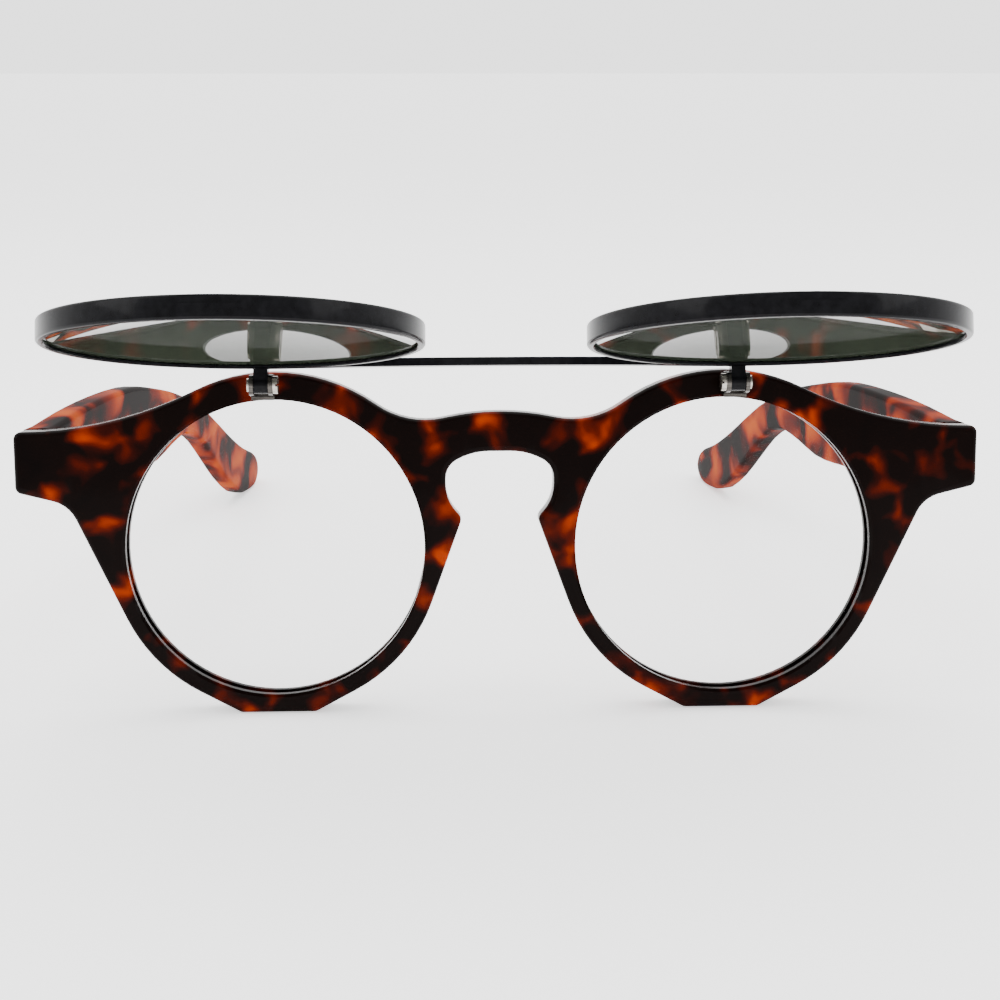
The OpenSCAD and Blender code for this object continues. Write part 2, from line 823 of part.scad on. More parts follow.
module lens_ring() {
    k = ring_round;
    b = ring_break;
    at_ring() difference() {
        rotate_extrude($fn = 180) polygon(concat(
            [[ring_in, b], [ring_in + b, 0]],
            [for (a = [0:30:90]) [ring_r - k + k * sin(a), k - k * cos(a)]],
            [for (a = [0:30:90]) [ring_r - k + k * cos(a), ring_t - k + k * sin(a)]],
            [[ring_in + b, ring_t], [ring_in, ring_t - b]],
            [[ring_in, lip_front], [ring_in + ring_groove, lip_front]],
            [[ring_in + ring_groove, lip_back], [ring_in, lip_back]]
        ));
        translate([-notch_w / 2, -ring_r - 1, notch_back]) cube([notch_w, 1 + notch_h, ring_t]);
    }
}

module left_lens_ring() {
    color(gunmetal) raised() lens_ring();
}

module right_lens_ring() {
    color(gunmetal) raised() mirrored() lens_ring();
}

module tinted_lens() {
    at_ring() rotate_extrude($fn = 180) polygon(concat(
        [for (i = [0:12]) let (r = tint_r * i / 12) [r, tint_centre + rise(tint_inner, r)]],
        [for (i = [12:-1:0]) let (r = tint_r * i / 12) [r, tint_centre + rise(tint_dome, r)]]
    ));
}

module left_tinted_lens() {
    color(tint) raised() tinted_lens();
}

module right_tinted_lens() {
    color(tint) raised() mirrored() tinted_lens();
}

// Bowed strip between the two flip arms, coped to the rings at its ends
module bridge_bar() {
    color(gunmetal) raised() difference() {
        translate([0, -bar_back, 0]) facing_front() linear_extrude(bar_t) polygon(concat(
            [for (i = [-12:12]) let (x = bar_half * i / 12) [x, bar_sag(x) - bar_drop]],
            [for (i = [12:-1:-12]) let (x = bar_half * i / 12) [x, bar_sag(x) - bar_drop + bar_h]]
        ));
        both() translate([tint_x, 1, -ring_r]) facing_front()
            cylinder(r = ring_r + solder_gap, h = 10, $fn = 180);
    }
}

frame_front();
left_clear_lens();
right_clear_lens();
left_temple();
right_temple();
left_front_leaf();
right_front_leaf();
left_temple_leaf();
right_temple_leaf();
left_hinge_screw();
right_hinge_screw();
left_flip_bracket();
right_flip_bracket();
left_flip_screw();
right_flip_screw();
left_flip_arm();
right_flip_arm();
left_lens_ring();
right_lens_ring();
left_tinted_lens();
right_tinted_lens();
bridge_bar();
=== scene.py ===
"""Round flip up sunglasses: the looks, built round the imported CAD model.

Metres, +X is the wearer's left, +Y runs back along the temples, +Z is up. Sizes that the
scene needs from the model are given below in millimetres. Each operator makes one group
of like pieces, and main() runs them in order.
"""

import json
import math

import bpy
import numpy as np
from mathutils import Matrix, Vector


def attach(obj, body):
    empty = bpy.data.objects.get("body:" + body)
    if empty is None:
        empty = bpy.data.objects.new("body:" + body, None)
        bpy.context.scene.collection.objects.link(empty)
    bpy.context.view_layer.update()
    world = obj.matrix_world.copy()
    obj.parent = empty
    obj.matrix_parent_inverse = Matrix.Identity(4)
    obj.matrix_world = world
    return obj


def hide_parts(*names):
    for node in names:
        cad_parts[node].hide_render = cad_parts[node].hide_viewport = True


bl_info = {
    "name": "Flip up sunglasses",
    "version": (1, 0, 0),
    "blender": (4, 5, 0),
    "location": "View3D > Sidebar > Sunglasses",
    "description": "Surfaces, materials and stage of flip up sunglasses, round their CAD model",
    "category": "Object",
}

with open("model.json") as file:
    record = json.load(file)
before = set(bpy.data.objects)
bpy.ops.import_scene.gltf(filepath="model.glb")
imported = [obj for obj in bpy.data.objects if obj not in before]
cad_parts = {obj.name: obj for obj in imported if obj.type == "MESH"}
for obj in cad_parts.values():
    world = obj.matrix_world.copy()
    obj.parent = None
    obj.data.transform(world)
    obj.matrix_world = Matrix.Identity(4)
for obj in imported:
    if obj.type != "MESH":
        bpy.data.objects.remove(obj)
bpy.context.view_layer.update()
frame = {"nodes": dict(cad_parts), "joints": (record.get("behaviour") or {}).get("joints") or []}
JOINTS = {joint["name"]: joint for joint in frame["joints"]}
SIDES = (("left", 1), ("right", -1))
MM = 0.001

# Tinted lenses and their rings, measured from the flip pin with the lenses upright
FLIP_UP = 99.8
TINT_X = 35.9
RING_R = 25.2
RING_T = 3.0
RING_W = 1.0
RING_BACK = 2.3
RING_ROUND = 0.4
RING_BREAK = 0.15
RING_GROOVE = 0.5
SEAT_GAP = 0.05
NOTCH_W = 10.0
NOTCH_H = 0.3
NOTCH_BACK = 1.9
TINT_T = 1.8
TINT_DOME = 88.0

# Clear lenses, measured in the front's own frame
LENS_X = 33.9
OPENING_R = 22.5
CLEAR_T = 1.8
CLEAR_DOME = 260.0
CLEAR_GROOVE = 0.5
CLEAR_FRONT = 1.6
PIVOT_OUT = 4.3
PIVOT_Z = 25.0

# Steps round a ring or a lens, across a lens's dome and round a ring's rounded edge, and
# the depth over which a ring's finger notch begins
ROUND_STEPS = 384
DOME_STEPS = 24
EDGE_STEPS = 9
NOTCH_STEP = 0.001

# Edges that turn by more than this many degrees stay sharp
FRONT_CREASE = 35
TEMPLE_CREASE = 40
METAL_CREASE = 30
LENS_CREASE = 35

# Copies of the model's meshes: digits of a metre to which points are joined, and how far
# the shading follows the large faces, of 100
JOIN_DIGITS = 7
FLAT_FACE_WEIGHT = 80

# Tortoiseshell front: distance from the middle beyond which it darkens, and how fast
DARK_FROM = 0.044
DARK_RATE = 4.5

# Camera: the point it looks at, in metres, its lens and film width, in millimetres, and
# the nearest distance it sees, in metres
CAMERA_TARGET = (0.0, -0.0481, 0.0324)
CAMERA_LENS = 60.9
FILM_WIDTH = 36
CAMERA_NEAR = 0.01

# Surroundings: strength, how bright the front is beside the back, and the places along Y,
# from 0 in front to 1 behind, between which it changes
WORLD_STRENGTH = 2.4
WORLD_FRONT = 0.45
WORLD_FADE = (0.25, 0.62)

# Half the floor's side, in metres
FLOOR_HALF = 12.0

# Softboxes: name, place, point aimed at, size in metres, share of the light setting
SOFTBOXES = (
    ("top_softbox", (0, 0.10, 0.70), (0, 0, 0), (1.0, 0.7), 1.0),
    ("left_softbox", (-0.7, -0.35, 0.45), (0, 0, 0.02), (0.4, 0.4), 0.35),
    ("right_softbox", (0.7, -0.35, 0.45), (0, 0, 0.02), (0.4, 0.4), 0.30),
)


# ---------------------------------------------------------------- places


def front_axes():
    """Directions of the front's X, Y and Z in the scene. The temples' pins run along its Z."""
    up = np.array(JOINTS["left_temple_fold"]["axis"], float)
    up /= np.linalg.norm(up)
    across = np.array([1.0, 0.0, 0.0])
    return np.stack([across, np.cross(up, across), up])


def front_place(points):
    """Points in the front's frame, in millimetres, as points in the scene. The flip pin
    lies PIVOT_OUT in front of the front face and PIVOT_Z above the lens centres."""
    axes = front_axes()
    pin = np.array(JOINTS["lens_flip"]["pos_m"], float)
    origin = pin - MM * (-PIVOT_OUT * axes[1] + PIVOT_Z * axes[2])
    return origin + MM * (points @ axes)


def raised_place(points):
    """Points in the flip assembly's upright frame, in millimetres, turned up about the
    flip pin by FLIP_UP degrees and put in the scene."""
    axes = front_axes()
    a = math.radians(-FLIP_UP)
    y_axis = math.cos(a) * axes[1] + math.sin(a) * axes[2]
    z_axis = -math.sin(a) * axes[1] + math.cos(a) * axes[2]
    pin = np.array(JOINTS["lens_flip"]["pos_m"], float)
    return pin + MM * (points @ np.stack([axes[0], y_axis, z_axis]))


def rise(dome, radius):
    """Height of a sphere of radius dome above its centre, at a distance from its axis."""
    return np.sqrt(dome * dome - np.square(radius))


# ---------------------------------------------------------------- meshes


def mesh_from(name, points, faces):
    """Mesh object from points and a list of face arrays, each array of one face size."""
    mesh = bpy.data.meshes.new(name)
    loops = np.concatenate([f.ravel() for f in faces]).astype(np.int32)
    sizes = np.concatenate([np.full(len(f), f.shape[1]) for f in faces])
    starts = np.concatenate([[0], np.cumsum(sizes)[:-1]]).astype(np.int32)
    mesh.vertices.add(len(points))
    mesh.vertices.foreach_set("co", points.astype(np.float32).ravel())
    mesh.loops.add(len(loops))
    mesh.loops.foreach_set("vertex_index", loops)
    mesh.polygons.add(len(sizes))
    mesh.polygons.foreach_set("loop_start", starts)
    mesh.update(calc_edges=True)
    mesh.validate()
    obj = bpy.data.objects.new(name, mesh)
    bpy.context.scene.collection.objects.link(obj)
    return outwards(obj)


def triangles(mesh):
    mesh.calc_loop_triangles()
    corners = np.empty(len(mesh.loop_triangles) * 3, np.int32)
    mesh.loop_triangles.foreach_get("vertices", corners)
    return corners.reshape(-1, 3)


def vertices(mesh):
    co = np.empty(len(mesh.vertices) * 3)
    mesh.vertices.foreach_get("co", co)
    return co.reshape(-1, 3)


def outwards(obj):
    """Turns the faces of a closed mesh outwards, by the sign of its volume."""
    p = vertices(obj.data)[triangles(obj.data)]
    if np.einsum("ij,ij->i", p[:, 0], np.cross(p[:, 1], p[:, 2])).sum() < 0:
        obj.data.flip_normals()
    return obj


def smooth(obj, angle):
    """Smooth shading, with edges that turn by more than the angle, in degrees, left sharp."""
    obj.data.polygons.foreach_set("use_smooth", np.ones(len(obj.data.polygons), bool))
    obj.data.set_sharp_from_angle(angle=math.radians(angle))
    return obj


def turned_profile(radius, height, steps):
    """Closed profile turned round its axis: x = r cos a, y = r sin a, z = h, on a grid of
    angles by profile points. Returns [angle, profile, xyz]."""
    a = np.linspace(0, 2 * np.pi, steps, endpoint=False)[:, None]
    return np.stack([radius * np.cos(a), radius * np.sin(a), height + 0 * a], -1)


def torus_faces(rows, columns):
    """Quads of a grid that closes on itself both ways."""
    index = np.arange(rows * columns).reshape(rows, columns)
    down, right = np.roll(index, -1, 0), np.roll(index, -1, 1)
    return np.stack([index, right, np.roll(down, -1, 1), down], -1).reshape(-1, 4)


def disc_mesh(name, place, radius, front, back, steps):
    """Lens between two domes. Rings of points run from the front's pole over the edge to
    the back's pole: r goes 0 to radius and back to 0, h is front(r), then back(r)."""
    r = np.linspace(0, radius, DOME_STEPS + 1)[1:]
    rows_r = np.concatenate([r, r[::-1]])
    rows_h = np.concatenate([front(r), back(r[::-1])])
    a = np.linspace(0, 2 * np.pi, steps, endpoint=False)
    rings = np.stack([
        rows_r[:, None] * np.cos(a), rows_r[:, None] * np.sin(a), rows_h[:, None] + 0 * a,
    ], -1)
    poles = np.array([[0, 0, front(0.0)], [0, 0, back(0.0)]])
    index = np.arange(len(rows_r) * steps).reshape(-1, steps)
    nxt = np.roll(index, -1, 1)
    quads = np.stack([index[:-1], nxt[:-1], nxt[1:], index[1:]], -1).reshape(-1, 4)
    first = len(rows_r) * steps
    start = np.stack([np.full(steps, first), nxt[0], index[0]], -1)
    end = np.stack([np.full(steps, first + 1), index[-1], nxt[-1]], -1)
    points = place(np.vstack([rings.reshape(-1, 3), poles]))
    return smooth(mesh_from(name, points, [quads, start, end]), LENS_CREASE)


def merged_copy(node, name, angle):
    """Copy of a CAD node's mesh with its triangles joined, shaded smoothly over its small
    facets and flat on its faces."""
    source = frame["nodes"][node].data
    joined = vertices(source).round(JOIN_DIGITS)
    keys, inverse = np.unique(joined, axis=0, return_inverse=True)
    faces = inverse.ravel()[triangles(source)]
    real = np.all(faces != np.roll(faces, 1, 1), axis=1)
    obj = smooth(mesh_from(name, keys, [faces[real]]), angle)
    weighted = obj.modifiers.new("flat_faces", "WEIGHTED_NORMAL")
    weighted.keep_sharp = True
    weighted.weight = FLAT_FACE_WEIGHT
    return obj


def dress(obj, look, body, slot, *nodes):
    """Gives a piece its material and its body, and hides the CAD nodes it stands for. Its slot
    is not used.
    """
    obj.data.materials.clear()
    obj.data.materials.append(material(look))
    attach(obj, body)
    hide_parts(*nodes)
    return obj


# ---------------------------------------------------------------- materials


class Tree:
    """Short names for building one material's node tree."""

    def __init__(self, name):
        self.material = bpy.data.materials.new(name)
        self.material.use_nodes = True
        self.tree = self.material.node_tree
        self.shader = self.tree.nodes["Principled BSDF"]

    def add(self, kind, **inputs):
        node = self.tree.nodes.new(kind)
        for key, value in inputs.items():
            node.inputs[key].default_value = value
        return node

    def link(self, source, target):
        self.tree.links.new(source, target)

    def colour(self, source):
        self.link(source, self.shader.inputs["Base Color"])

    def set(self, **values):
        for key, value in values.items():
            self.shader.inputs[key.replace("_", " ")].default_value = value

    def ramp(self, factor, stops):
        """Colours blended along a value, as (place, colour) stops."""
        node = self.tree.nodes.new("ShaderNodeValToRGB")
        points = node.color_ramp.elements
        while len(points) < len(stops):
            points.new(0.5)
        for point, (place, colour) in zip(points, stops):
            point.position = place
            point.color = (*colour, 1)
        self.link(factor, node.inputs["Fac"])
        return node.outputs["Color"]

    def place(self, stretch=(1, 1, 1), shift=(0, 0, 0), turn=(0, 0, 0)):
        node = self.add("ShaderNodeMapping", Scale=stretch, Location=shift, Rotation=turn)
        source = self.tree.nodes.new("ShaderNodeTexCoord")
        self.link(source.outputs["Object"], node.inputs["Vector"])
        return node.outputs["Vector"]

    def noise(self, vector, scale, detail=2.0, rough=0.5, distort=0.0):
        node = self.add(
            "ShaderNodeTexNoise", Scale=scale, Detail=detail, Roughness=rough,
            Distortion=distort,
        )
        self.link(vector, node.inputs["Vector"])
        return node.outputs["Fac"]

    def math(self, operation, a, b):
        node = self.tree.nodes.new("ShaderNodeMath")
        node.operation = operation
        for socket, value in zip(node.inputs, (a, b)):
            if isinstance(value, (int, float)):
                socket.default_value = value
            else:
                self.link(value, socket)
        return node.outputs[0]

    def bump(self, height, strength, distance):
        node = self.add("ShaderNodeBump", Strength=strength, Distance=distance)
        self.link(height, node.inputs["Height"])
        self.link(node.outputs["Normal"], self.shader.inputs["Normal"])


def tortoise_front(finish):
    """Nearly black brown plastic with red-brown clouds and a few orange patches."""
    m = Tree("tortoise_front")
    where = m.place((1, 0.5, 1), (0.031, 0.02, 0.017), (0, 0.5, 0))
    blobs = m.noise(where, 1 / finish.front_patch_size, 1.6, 0.45, 0.3)
    split = m.tree.nodes.new("ShaderNodeSeparateXYZ")
    m.link(m.place(), split.inputs[0])
    outer = m.math("SUBTRACT", m.math("ABSOLUTE", split.outputs["X"], 0), DARK_FROM)
    dark = m.math("MULTIPLY", m.math("MAXIMUM", outer, 0), DARK_RATE)
    m.colour(m.ramp(m.math("SUBTRACT", blobs, dark), [
        (0.0, (0.0018, 0.0010, 0.0009)),
        (0.48, finish.front_ground),
        (0.55, (0.022, 0.0022, 0.0010)),
        (0.62, finish.front_cloud),
        (0.72, finish.front_patch),
    ]))
    m.set(Roughness=0.20, IOR=1.08, Coat_Weight=0.03, Coat_Roughness=0.05)
    return m.material


def tortoise_temple(finish):
    """Amber and orange plastic with maroon clouds and nearly black spots."""
    m = Tree("tortoise_temple")
    where = m.place((1, 0.7, 1), (0.003, 0.0, 0.011), (0.4, 0, 0))
    blobs = m.noise(where, 1 / finish.temple_patch_size, 1.6, 0.5, 0.5)
    m.colour(m.ramp(blobs, [
        (0.40, finish.temple_spot),
        (0.46, (0.020, 0.0018, 0.0008)),
        (0.51, (0.085, 0.0048, 0.0004)),
        (0.58, finish.temple_cloud),
        (0.70, finish.temple_ground),
    ]))
    m.set(Roughness=0.30, Specular_IOR_Level=0.0, Coat_Weight=0.10, Coat_Roughness=0.08)
    return m.material


def black_metal(finish):
    """Gloss black coating on metal, slightly uneven in tone."""
    m = Tree("black_metal_coat")
    m.colour(m.ramp(m.noise(m.place(), 900), [
        (0.3, (0.002, 0.002, 0.0025)), (0.7, finish.metal_coat),
    ]))
    m.set(Roughness=0.20, IOR=1.15, Coat_Weight=0.05, Coat_Roughness=0.08)
    return m.material


def brushed(name, low, high, roughness):
    """Metal with fine brushing along X."""
    m = Tree(name)
    lines = m.noise(m.place((1, 12, 12)), 700, 3, 0.6)
    m.colour(m.ramp(lines, [(0.3, low), (0.7, high)]))
    m.bump(lines, 0.15, 0.00003)
    m.set(Metallic=1.0, Roughness=roughness)
    return m.material


def hinge_steel(finish):
    return brushed("hinge_metal", (0.36, 0.33, 0.29), finish.hinge_metal, 0.26)


def dark_steel(finish):
    return brushed("dark_hinge_metal", (0.05, 0.045, 0.04), finish.dark_hinge_metal, 0.26)


def tinted_lens(finish):
    """Grey-green tinted plastic with a hard gloss. Its tone drifts slightly across."""
    m = Tree("tinted_lens_plastic")
    m.colour(m.ramp(m.noise(m.place(), 30, 1), [
        (0.3, (0.016, 0.021, 0.014)), (0.7, finish.tint),
    ]))
    m.set(
        Roughness=0.015, IOR=1.5, Alpha=finish.tint_strength, Coat_Weight=0.3,
        Coat_Roughness=0.01,
    )
    return m.material


def clear_lens(finish):
    """Clear plastic that shows by its reflections alone."""
    m = Tree("clear_lens_plastic")
    m.colour(m.ramp(m.noise(m.place(), 30, 1), [
        (0.3, (0.010, 0.011, 0.011)), (0.7, (0.014, 0.015, 0.015)),
    ]))
    m.set(Roughness=0.02, IOR=1.5, Alpha=0.03)
    return m.material


def floor_white(finish):
    """White paper, a little uneven, that gives back some light of its own."""
    m = Tree("floor_white")
    m.colour(m.ramp(m.noise(m.place(), 6, 1), [
        (0.3, (0.93, 0.93, 0.93)), (0.7, (0.95, 0.95, 0.95)),
    ]))
    m.set(Roughness=0.7, Emission_Color=(1, 1, 1, 1), Emission_Strength=0.9)
    return m.material


LOOKS = {
    "tortoise_front": tortoise_front, "tortoise_temple": tortoise_temple,
    "black_metal": black_metal, "hinge_steel": hinge_steel, "dark_steel": dark_steel,
    "tinted_lens": tinted_lens, "clear_lens": clear_lens, "floor_white": floor_white,
}
MADE = {}


def material(look):
    if look not in MADE:
        MADE[look] = LOOKS[look](bpy.context.scene.sunglasses_finish)
    return MADE[look]


# ---------------------------------------------------------------- the stage


def look_at(obj, target):
    aim = Vector(target) - obj.location
    obj.rotation_euler = aim.to_track_quat("-Z", "Y").to_euler()


def soft_light(name, place, target, size, power):
    data = bpy.data.lights.new(name, "AREA")
    data.shape = "RECTANGLE"
    data.size, data.size_y = size
    data.energy = power
    obj = bpy.data.objects.new(name, data)
    obj.location = place
    bpy.context.scene.collection.objects.link(obj)
    look_at(obj, target)


def set_camera(settings):
    """Camera at the photograph's angle, aimed at the middle of the lens openings."""
    target = Vector(CAMERA_TARGET)
    turn, tilt = math.radians(settings.azimuth), math.radians(settings.elevation)
    level = math.cos(tilt)
    away = Vector((math.sin(turn) * level, -math.cos(turn) * level, math.sin(tilt)))
    camera = bpy.data.objects.new("camera", bpy.data.cameras.new("camera"))
    camera.data.sensor_width = FILM_WIDTH
    camera.data.lens = CAMERA_LENS
    camera.data.clip_start = CAMERA_NEAR
    camera.location = target + settings.distance * away
    look_at(camera, target)
    bpy.context.scene.collection.objects.link(camera)
    bpy.context.scene.camera = camera


def set_world():
    """White surroundings, dimmer in front, so that the face of the glasses stays dark."""
    world = bpy.data.worlds.new("studio")
    world.use_nodes = True
    tree = world.node_tree
    where = tree.nodes.new("ShaderNodeTexCoord")
    split = tree.nodes.new("ShaderNodeSeparateXYZ")
    ramp = tree.nodes.new("ShaderNodeValToRGB")
    stretch = tree.nodes.new("ShaderNodeMapRange")
    stretch.inputs["From Min"].default_value = -1
    for point, place, tone in zip(ramp.color_ramp.elements, WORLD_FADE, (WORLD_FRONT, 1)):
        point.position = place
        point.color = (tone, tone, tone, 1)
    tree.links.new(where.outputs["Generated"], split.inputs[0])
    tree.links.new(split.outputs["Y"], stretch.inputs["Value"])
    tree.links.new(stretch.outputs["Result"], ramp.inputs["Fac"])
    tree.links.new(ramp.outputs["Color"], tree.nodes["Background"].inputs["Color"])
    tree.nodes["Background"].inputs["Strength"].default_value = WORLD_STRENGTH
    bpy.context.scene.world = world


def build_stage(settings):
    set_camera(settings)
    set_world()
    x = FLOOR_HALF
    corners = np.array([(-x, -x, 0), (x, -x, 0), (x, x, 0), (-x, x, 0)])
    mesh = bpy.data.meshes.new("floor")
    mesh.from_pydata(corners, [], [(0, 1, 2, 3)])
    floor = bpy.data.objects.new("floor", mesh)
    mesh.materials.append(material("floor_white"))
    bpy.context.scene.collection.objects.link(floor)
    for name, place, target, size, share in SOFTBOXES:
        soft_light(name, place, target, size, share * settings.light)


# ---------------------------------------------------------------- the pieces


def build_front():
    piece = merged_copy("frame_front", "front_shell", FRONT_CREASE)
    dress(piece, "tortoise_front", "front", "front_plastic", "frame_front")


def build_temples():
    for side, _ in SIDES:
        node = f"{side}_temple"
        piece = merged_copy(node, f"{side}_temple_shell", TEMPLE_CREASE)
        dress(piece, "tortoise_temple", f"{side}_temple_arm", "temple_plastic", node)


def build_temple_hinges():
    for side, _ in SIDES:
        for part, body in (
            ("front_leaf", "front"),
            ("hinge_screw", "front"),
            ("temple_leaf", f"{side}_temple_arm"),
        ):
            node = f"{side}_{part}"
            piece = merged_copy(node, f"{node}_metal", METAL_CREASE)
            dress(piece, "hinge_steel", body, "hinge_steel", node)


def build_flip_hinges():
    for side, _ in SIDES:
        for part, body, look, slot in (
            ("flip_bracket", "front", "dark_steel", "dark_steel"),
            ("flip_screw", "front", "hinge_steel", "dark_steel"),
            ("flip_arm", "flip_up", "black_metal", "black_metal"),
        ):
            node = f"{side}_{part}"
            dress(merged_copy(node, f"{node}_metal", METAL_CREASE), look, body, slot, node)
    bar = merged_copy("bridge_bar", "bridge_bar_metal", METAL_CREASE)
    dress(bar, "black_metal", "flip_up", "black_metal", "bridge_bar")


def tint_centre():
    """Centre of the tinted lens's two domes along its axis, so that it lies mid ring."""
    mid = RING_R - RING_W + RING_GROOVE / 2
    return RING_T / 2 - (rise(TINT_DOME, mid) + rise(TINT_DOME - TINT_T, mid)) / 2


def ring_profile(rounding):
    """Closed section of a ring as radius and height: rounded outside by quarter circles,
    broken inside by small chamfers, with a groove between the lens's two domes."""
    k, b = rounding, RING_BREAK
    inner, groove = RING_R - RING_W, RING_R - RING_W + RING_GROOVE
    back = tint_centre() + rise(TINT_DOME - TINT_T, groove - SEAT_GAP) - SEAT_GAP
    front = tint_centre() + rise(TINT_DOME, inner) + SEAT_GAP
    q = np.radians(np.linspace(0, 90, EDGE_STEPS))
    r = np.concatenate([
        [inner, inner + b], RING_R - k + k * np.sin(q), [RING_R, RING_R],
        RING_R - k + k * np.cos(q), [inner + b, inner, inner, groove, groove, inner],
    ])
    h = np.concatenate([
        [b, 0], k - k * np.cos(q), [NOTCH_BACK - NOTCH_STEP, NOTCH_BACK],
        RING_T - k + k * np.sin(q), [RING_T, RING_T - b, front, front, back, back],
    ])
    return r, h


def ring_place(side):
    """Puts points round a ring's axis, x across, y up the lens and z forward, in the scene."""
    def place(p):
        x = side * (TINT_X + p[:, 0])
        return raised_place(np.stack([x, -RING_BACK - p[:, 2], p[:, 1] - RING_R], -1))
    return place


def build_rings(rounding):
    """Rings by turning their section, with a finger notch: where the front part of a ring
    lies within half the notch's width of its lowest point, its height is held NOTCH_H
    above that point."""
    radius, height = ring_profile(rounding)
    points = turned_profile(radius, height, 2 * ROUND_STEPS)
    low = NOTCH_H - RING_R
    x, y, z = points[..., 0], points[..., 1], points[..., 2]
    cut = (np.abs(x) < NOTCH_W / 2) & (z >= NOTCH_BACK) & (y < low)
    points[..., 1] = np.where(cut, low, y)
    for side, sign in SIDES:
        placed = ring_place(sign)(points.reshape(-1, 3))
        piece = mesh_from(f"{side}_ring_metal", placed, [torus_faces(*points.shape[:2])])
        smooth(piece, METAL_CREASE)
        dress(piece, "black_metal", "flip_up", "black_metal", f"{side}_lens_ring")


def build_tinted_lenses():
    """Domed lenses: h = centre + sqrt(dome^2 - r^2) in front, and the same with the dome
    less the thickness behind."""
    centre = tint_centre()
    radius = RING_R - RING_W + RING_GROOVE - SEAT_GAP
    for side, sign in SIDES:
        piece = disc_mesh(
            f"{side}_tinted_disc", ring_place(sign), radius,
            lambda r: centre + rise(TINT_DOME, r),
            lambda r: centre + rise(TINT_DOME - TINT_T, r), ROUND_STEPS,
        )
        dress(piece, "tinted_lens", "flip_up", "tinted_lens", f"{side}_tinted_lens")


def build_clear_lenses():
    """Shallow domes: depth = apex + dome - sqrt(dome^2 - r^2), the back's dome being less
    by the thickness."""
    apex = CLEAR_FRONT - CLEAR_DOME + rise(CLEAR_DOME, OPENING_R)
    for side, sign in SIDES:
        def place(p, sign=sign):
            return front_place(np.stack([sign * (LENS_X + p[:, 0]), p[:, 2], p[:, 1]], -1))
        piece = disc_mesh(
            f"{side}_clear_disc", place, OPENING_R + CLEAR_GROOVE - SEAT_GAP,
            lambda r: apex + CLEAR_DOME - rise(CLEAR_DOME, r),
            lambda r: apex + CLEAR_DOME - rise(CLEAR_DOME - CLEAR_T, r), ROUND_STEPS,
        )
        dress(piece, "clear_lens", "front", "clear_lens", f"{side}_clear_lens")


# ---------------------------------------------------------------- the add-on


class SunglassesSettings(bpy.types.PropertyGroup):
    """The camera's place and the light"""

    azimuth: bpy.props.FloatProperty(
        name="Camera azimuth", default=-2.0,
        description="Degrees that the camera stands round towards the wearer's left",
    )
    elevation: bpy.props.FloatProperty(
        name="Camera elevation", default=14.6,
        description="Degrees that the camera stands above the target",
    )
    distance: bpy.props.FloatProperty(
        name="Camera distance", default=0.255, unit="LENGTH",
        description="Distance from the camera to the target",
    )
    light: bpy.props.FloatProperty(
        name="Light", description="Power of the top softbox", default=5.0, unit="POWER"
    )


def colour_setting(name, description, default):
    return bpy.props.FloatVectorProperty(
        name=name, description=description, default=default, size=3, min=0, max=1,
        subtype="COLOR",
    )


class SunglassesFinish(bpy.types.PropertyGroup):
    """Colours, pattern sizes and the rings' rounding"""

    front_ground: colour_setting(
        "Front ground", "Nearly black ground of the front", (0.0034, 0.0014, 0.0011)
    )
    front_cloud: colour_setting(
        "Front clouds", "Red-brown clouds in the front", (0.085, 0.0055, 0.0008)
    )
    front_patch: colour_setting(
        "Front patches", "Brightest orange of the front", (0.300, 0.026, 0.0010)
    )
    front_patch_size: bpy.props.FloatProperty(
        name="Front patch size", description="Size of the front's pattern",
        default=1 / 190, min=0.0005, unit="LENGTH",
    )
    temple_ground: colour_setting(
        "Temple ground", "Amber ground of the temples", (0.330, 0.0520, 0.0008)
    )
    temple_cloud: colour_setting(
        "Temple clouds", "Orange clouds in the temples", (0.220, 0.0210, 0.0003)
    )
    temple_spot: colour_setting(
        "Temple spots", "Nearly black spots of the temples", (0.004, 0.0018, 0.0014)
    )
    temple_patch_size: bpy.props.FloatProperty(
        name="Temple patch size", description="Size of the temples' pattern",
        default=1 / 125, min=0.0005, unit="LENGTH",
    )
    tint: colour_setting("Tint", "Colour of the tinted lenses", (0.024, 0.030, 0.020))
    tint_strength: bpy.props.FloatProperty(
        name="Tint strength", description="How much of the light the tinted lenses hold back",
        default=0.88, min=0, max=1, subtype="FACTOR",
    )
    metal_coat: colour_setting(
        "Metal coat", "Coating of the rings, arms and bar", (0.005, 0.005, 0.006)
    )
    hinge_metal: colour_setting(
        "Hinge metal", "Plain metal of the temple hinges", (0.58, 0.54, 0.48)
    )
    dark_hinge_metal: colour_setting(
        "Dark hinge metal", "Metal of the flip brackets", (0.13, 0.12, 0.11)
    )
    ring_round: bpy.props.FloatProperty(
        name="Ring rounding", description="Radius of the rings' outer edges",
        default=RING_ROUND * MM, min=0.00005, max=0.0009, precision=5, unit="LENGTH",
    )


class Builder:
    """Shared parts of the operators. A fault in a build stops the script."""

    bl_options = {"REGISTER", "UNDO"}

    def execute(self, context):
        self.build(context.scene.sunglasses)
        return {"FINISHED"}


class SUNGLASSES_OT_stage(Builder, bpy.types.Operator):
    """Make the floor, the lights, the surroundings and the camera"""

    bl_idname = "sunglasses.stage"
    bl_label = "Stage"

    def build(self, settings):
        build_stage(settings)


class SUNGLASSES_OT_front(Builder, bpy.types.Operator):
    """Make the tortoiseshell front"""

    bl_idname = "sunglasses.front"
    bl_label = "Front"

    def build(self, settings):
        build_front()


class SUNGLASSES_OT_temples(Builder, bpy.types.Operator):
    """Make the two tortoiseshell temples"""

    bl_idname = "sunglasses.temples"
    bl_label = "Temples"

    def build(self, settings):
        build_temples()


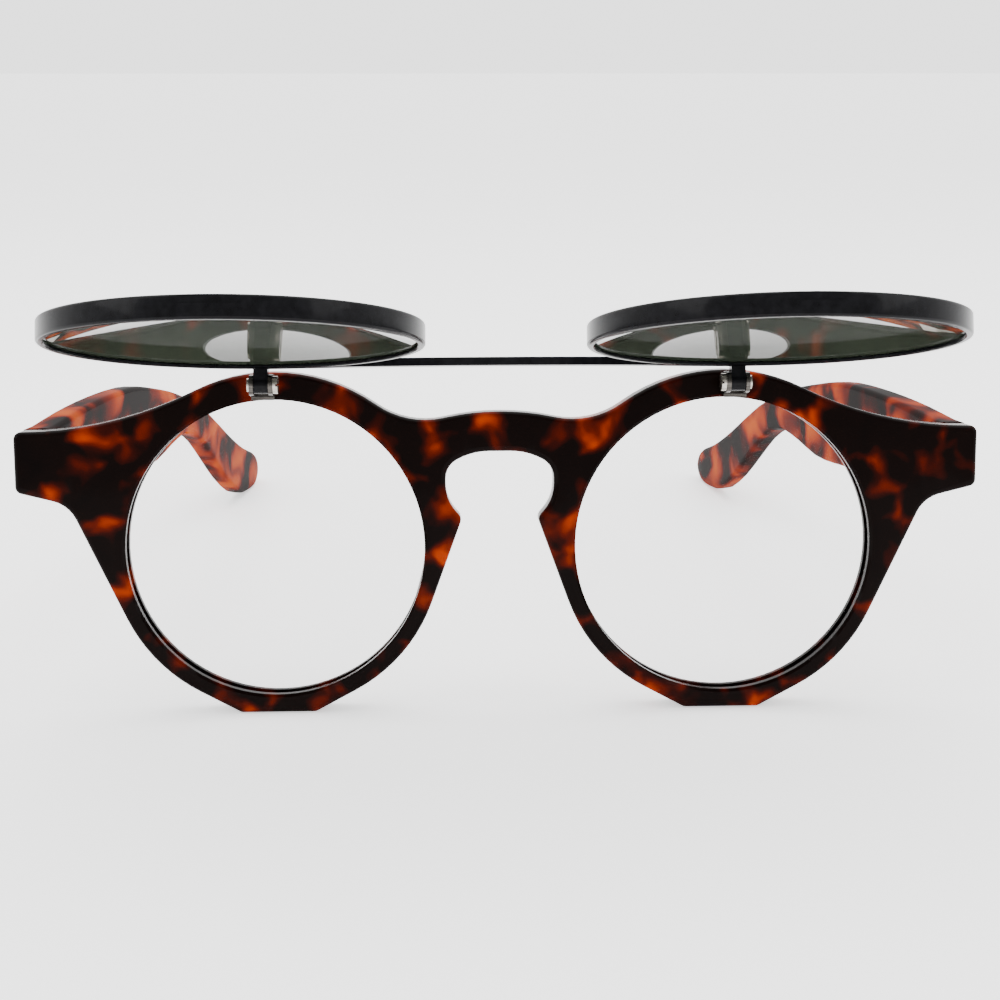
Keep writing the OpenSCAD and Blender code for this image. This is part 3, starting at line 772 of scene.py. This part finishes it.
class SUNGLASSES_OT_temple_hinges(Builder, bpy.types.Operator):
    """Make the leaves and screws of the temple hinges"""

    bl_idname = "sunglasses.temple_hinges"
    bl_label = "Temple hinges"

    def build(self, settings):
        build_temple_hinges()


class SUNGLASSES_OT_flip_hinges(Builder, bpy.types.Operator):
    """Make the brackets, pins, arms and bar that carry the tinted lenses"""

    bl_idname = "sunglasses.flip_hinges"
    bl_label = "Flip hinges and bar"

    def build(self, settings):
        build_flip_hinges()


class SUNGLASSES_OT_rings(Builder, bpy.types.Operator):
    """Make the two metal rings"""

    bl_idname = "sunglasses.rings"
    bl_label = "Lens rings"

    def build(self, settings):
        build_rings(bpy.context.scene.sunglasses_finish.ring_round / MM)


class SUNGLASSES_OT_tinted_lenses(Builder, bpy.types.Operator):
    """Make the two tinted lenses"""

    bl_idname = "sunglasses.tinted_lenses"
    bl_label = "Tinted lenses"

    def build(self, settings):
        build_tinted_lenses()


class SUNGLASSES_OT_clear_lenses(Builder, bpy.types.Operator):
    """Make the two clear lenses"""

    bl_idname = "sunglasses.clear_lenses"
    bl_label = "Clear lenses"

    def build(self, settings):
        build_clear_lenses()


OPERATORS = (
    SUNGLASSES_OT_stage, SUNGLASSES_OT_front, SUNGLASSES_OT_temples,
    SUNGLASSES_OT_temple_hinges, SUNGLASSES_OT_flip_hinges, SUNGLASSES_OT_rings,
    SUNGLASSES_OT_tinted_lenses, SUNGLASSES_OT_clear_lenses,
)


class SUNGLASSES_PT_panel(bpy.types.Panel):
    """Lists the settings and the operators"""

    bl_idname = "SUNGLASSES_PT_panel"
    bl_label = "Sunglasses"
    bl_space_type = "VIEW_3D"
    bl_region_type = "UI"
    bl_category = "Sunglasses"

    def draw(self, context):
        for group in (context.scene.sunglasses, context.scene.sunglasses_finish):
            for name in group.__annotations__:
                self.layout.prop(group, name)
        for operator in OPERATORS:
            self.layout.operator(operator.bl_idname)


CLASSES = (SunglassesSettings, SunglassesFinish, *OPERATORS, SUNGLASSES_PT_panel)


def register():
    for cls in CLASSES:
        bpy.utils.register_class(cls)
    bpy.types.Scene.sunglasses = bpy.props.PointerProperty(type=SunglassesSettings)
    bpy.types.Scene.sunglasses_finish = bpy.props.PointerProperty(type=SunglassesFinish)


def unregister():
    del bpy.types.Scene.sunglasses_finish
    del bpy.types.Scene.sunglasses
    for cls in reversed(CLASSES):
        bpy.utils.unregister_class(cls)


def main():
    """Registers the add-on and runs its operators."""
    register()
    for operator in OPERATORS:
        group, name = operator.bl_idname.split(".")
        getattr(getattr(bpy.ops, group), name)()


if __name__ == "__main__":
    main()
